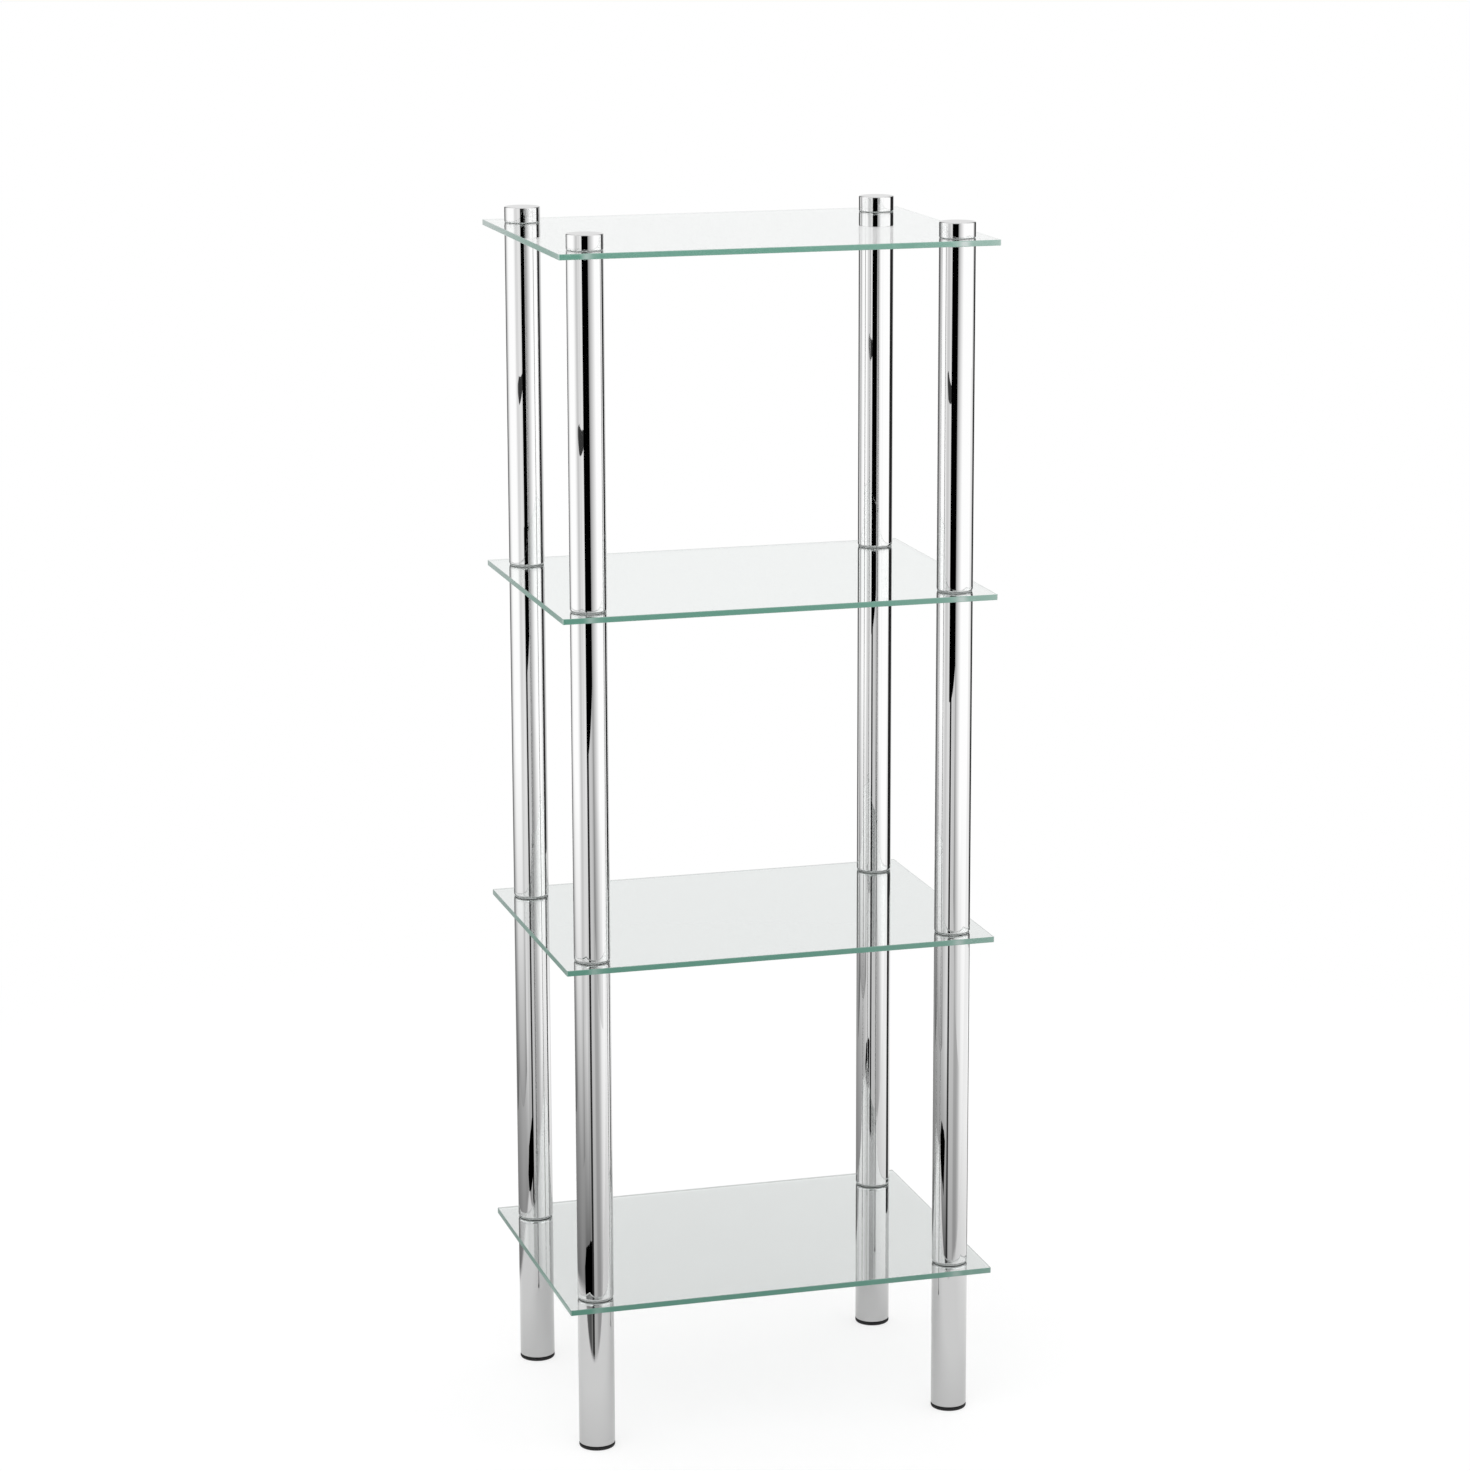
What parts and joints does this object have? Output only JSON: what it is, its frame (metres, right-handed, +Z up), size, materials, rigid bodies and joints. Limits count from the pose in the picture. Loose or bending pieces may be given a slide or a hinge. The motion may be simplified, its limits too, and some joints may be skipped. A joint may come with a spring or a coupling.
{
  "type": "glass shelving unit",
  "caption": "Tall free-standing shelving unit: rectangular clear glass shelves clamped between straight chromed tube posts with flat caps and rubber foot pads.",
  "frame": {"origin": "on the floor, at the middle of the unit's width and depth", "axes": "+Z up, +Y from the front to the back, +X from left to right as seen from the front"},
  "size_m": [0.39, 0.29, 1.08],
  "materials": {
    "shelf_glass": "clear float glass with ground, faintly green edges",
    "chromed_tube": "mirror-polished chrome on steel tube",
    "chromed_cap": "mirror-polished chrome on a turned cap",
    "foot_rubber": "matt moulded rubber",
    "clear_pvc": "soft translucent PVC",
    "zinced_stud": "bright zinc plating",
    "plug_nylon": "natural moulded nylon"
  },
  "bodies": {
    "root": {"glass_shelf_1": "shelf_glass", "glass_shelf_2": "shelf_glass", "glass_shelf_3": "shelf_glass", "glass_shelf_4": "shelf_glass", "foot_tube_front_left": "chromed_tube", "foot_tube_front_right": "chromed_tube", "foot_tube_back_left": "chromed_tube", "foot_tube_back_right": "chromed_tube", "bay_1_tube_front_left": "chromed_tube", "bay_1_tube_front_right": "chromed_tube", "bay_1_tube_back_left": "chromed_tube", "bay_1_tube_back_right": "chromed_tube", "bay_2_tube_front_left": "chromed_tube", "bay_2_tube_front_right": "chromed_tube", "bay_2_tube_back_left": "chromed_tube", "bay_2_tube_back_right": "chromed_tube", "bay_3_tube_front_left": "chromed_tube", "bay_3_tube_front_right": "chromed_tube", "bay_3_tube_back_left": "chromed_tube", "bay_3_tube_back_right": "chromed_tube", "top_cap_front_left": "chromed_cap", "top_cap_front_right": "chromed_cap", "top_cap_back_left": "chromed_cap", "top_cap_back_right": "chromed_cap", "foot_pad_front_left": "foot_rubber", "foot_pad_front_right": "foot_rubber", "foot_pad_back_left": "foot_rubber", "foot_pad_back_right": "foot_rubber", "lower_bushes_shelf_1": "clear_pvc", "lower_bushes_shelf_2": "clear_pvc", "lower_bushes_shelf_3": "clear_pvc", "lower_bushes_shelf_4": "clear_pvc", "upper_washers_shelf_1": "clear_pvc", "upper_washers_shelf_2": "clear_pvc", "upper_washers_shelf_3": "clear_pvc", "upper_washers_shelf_4": "clear_pvc", "studs_shelf_1": "zinced_stud", "studs_shelf_2": "zinced_stud", "studs_shelf_3": "zinced_stud", "studs_shelf_4": "zinced_stud", "end_plugs_foot_tubes": "plug_nylon", "end_plugs_bay_1_bottom": "plug_nylon", "end_plugs_bay_1_top": "plug_nylon", "end_plugs_bay_2_bottom": "plug_nylon", "end_plugs_bay_2_top": "plug_nylon", "end_plugs_bay_3_bottom": "plug_nylon", "end_plugs_bay_3_top": "plug_nylon"}
  },
  "joints": []
}
